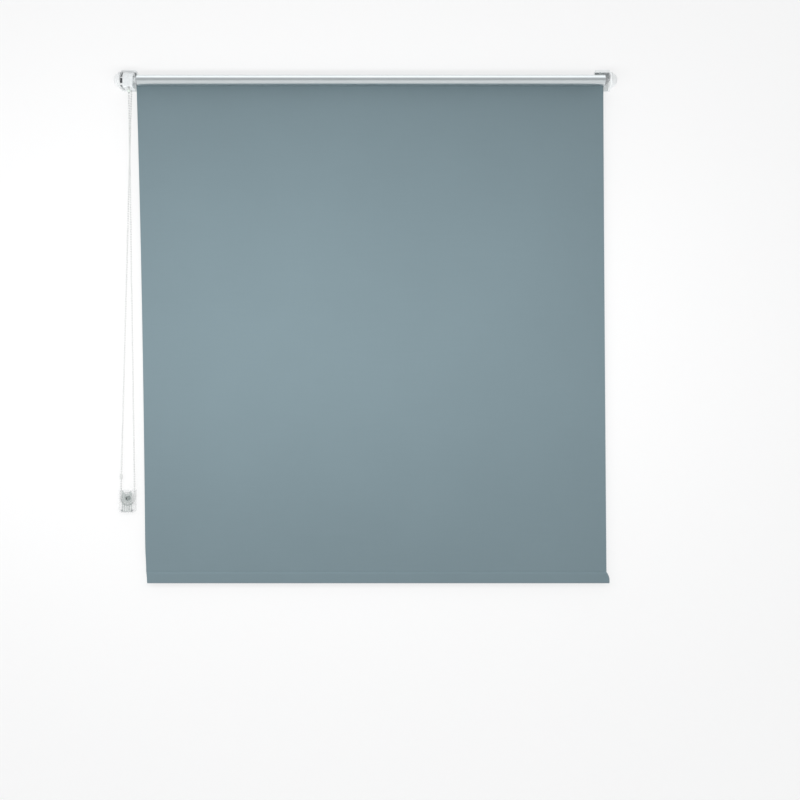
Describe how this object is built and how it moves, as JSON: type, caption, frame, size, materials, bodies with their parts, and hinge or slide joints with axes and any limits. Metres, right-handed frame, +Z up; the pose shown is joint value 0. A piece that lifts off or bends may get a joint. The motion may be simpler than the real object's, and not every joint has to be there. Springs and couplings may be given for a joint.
{
  "type": "roller blind",
  "caption": "Chain-driven roller blind: aluminium tube between white plastic brackets, plain blue-grey fabric hanging behind the tube, weighted hem and clear chain tensioner.",
  "frame": {"origin": "on the wall plane, at the height of the tube's axis and midway between the two brackets: the centre of the four wall screw holes", "axes": "+X along the tube towards the idle end, +Y into the wall, +Z up"},
  "size_m": [1.232, 0.047, 1.2588],
  "materials": {
    "bracket_plastic": "satin moulded plastic",
    "guard_plastic": "satin moulded plastic",
    "grey_plastic": "matt moulded plastic",
    "dark_plastic": "matt moulded plastic",
    "steel": "zinc plated",
    "tube_aluminium": "satin mill finish",
    "blind_fabric": "plain smooth weave, blue-grey",
    "bar_plastic": "extruded",
    "tape": "double-sided adhesive tape",
    "chain_plastic": "glossy moulded beads",
    "stop_plastic": "translucent white",
    "pulley_plastic": "translucent white",
    "clear_plastic": "clear moulded plastic"
  },
  "bodies": {
    "frame": {"drive_bracket": "bracket_plastic", "idle_bracket": "bracket_plastic", "drive_end_cover": "bracket_plastic", "idle_end_cover": "bracket_plastic", "chain_guard_outer": "guard_plastic", "chain_guard_inner": "guard_plastic", "clutch_hub": "grey_plastic", "hub_washer": "steel", "hub_screw": "steel", "fabric_panel": "blind_fabric", "chain_cord": "chain_plastic", "chain_beads": "chain_plastic", "tensioner_back": "clear_plastic", "tensioner_cover": "clear_plastic", "tensioner_screws": "steel"},
    "roller": {"roller_tube": "tube_aluminium", "fabric_tape": "tape", "fabric_wrap": "blind_fabric", "tube_driver": "dark_plastic", "idle_plug": "dark_plastic", "plug_cap": "dark_plastic", "pin_spring": "steel"},
    "drive_wheel": {"chain_wheel": "guard_plastic", "wrap_springs": "steel"},
    "hem": {"hem_pocket": "blind_fabric", "hem_bar": "bar_plastic", "hem_cap_left": "bar_plastic", "hem_cap_right": "bar_plastic"},
    "pin": {"idle_pin": "steel"},
    "stop_ball": {"chain_stop": "stop_plastic"},
    "connector": {"chain_connector": "chain_plastic"},
    "pulley": {"tensioner_pulley": "pulley_plastic"}
  },
  "joints": [
    {"name": "roller_spin", "type": "hinge", "parent": "frame", "child": "roller", "pos_m": [0, -0.027, 0], "axis": [1, 0, 0], "range_deg": [0, 3960], "deforming": ["chain_beads", "chain_cord"]},
    {"name": "drive_wheel_spin", "type": "hinge", "parent": "frame", "child": "drive_wheel", "pos_m": [-0.576, -0.027, 0], "axis": [1, 0, 0], "range_deg": [0, 3960]},
    {"name": "hem_lift", "type": "slide", "parent": "frame", "child": "hem", "axis": [0, 0, 1], "range_m": [0, 1.066], "deforming": ["fabric_panel"]},
    {"name": "stop_ball_travel", "type": "slide", "parent": "frame", "child": "stop_ball", "axis": [0.0057, 0.0327, -0.9995], "range_m": [0, 0.924]},
    {"name": "connector_travel", "type": "slide", "parent": "frame", "child": "connector", "axis": [0.028, -0.0064, 0.9996], "range_m": [0, 0.924]},
    {"name": "pulley_spin", "type": "hinge", "parent": "frame", "child": "pulley", "pos_m": [-0.5874, -0.007, -1.025], "axis": [0, 1, 0], "range_deg": [0, 3080.5]},
    {"name": "pin_press", "type": "slide", "parent": "roller", "child": "pin", "axis": [-1, 0, 0], "range_m": [0, 0.007], "stiffness_N_per_m": 300, "springref_m": -0.003, "deforming": ["pin_spring"]}
  ],
  "couplings": [
    {"joint": "drive_wheel_spin", "follows": "roller_spin", "ratio": 1},
    {"joint": "hem_lift", "follows": "roller_spin", "m_per_rad": 0.015423},
    {"joint": "stop_ball_travel", "follows": "roller_spin", "m_per_rad": 0.013364},
    {"joint": "connector_travel", "follows": "roller_spin", "m_per_rad": 0.013361},
    {"joint": "pulley_spin", "follows": "roller_spin", "ratio": 0.77778}
  ]
}
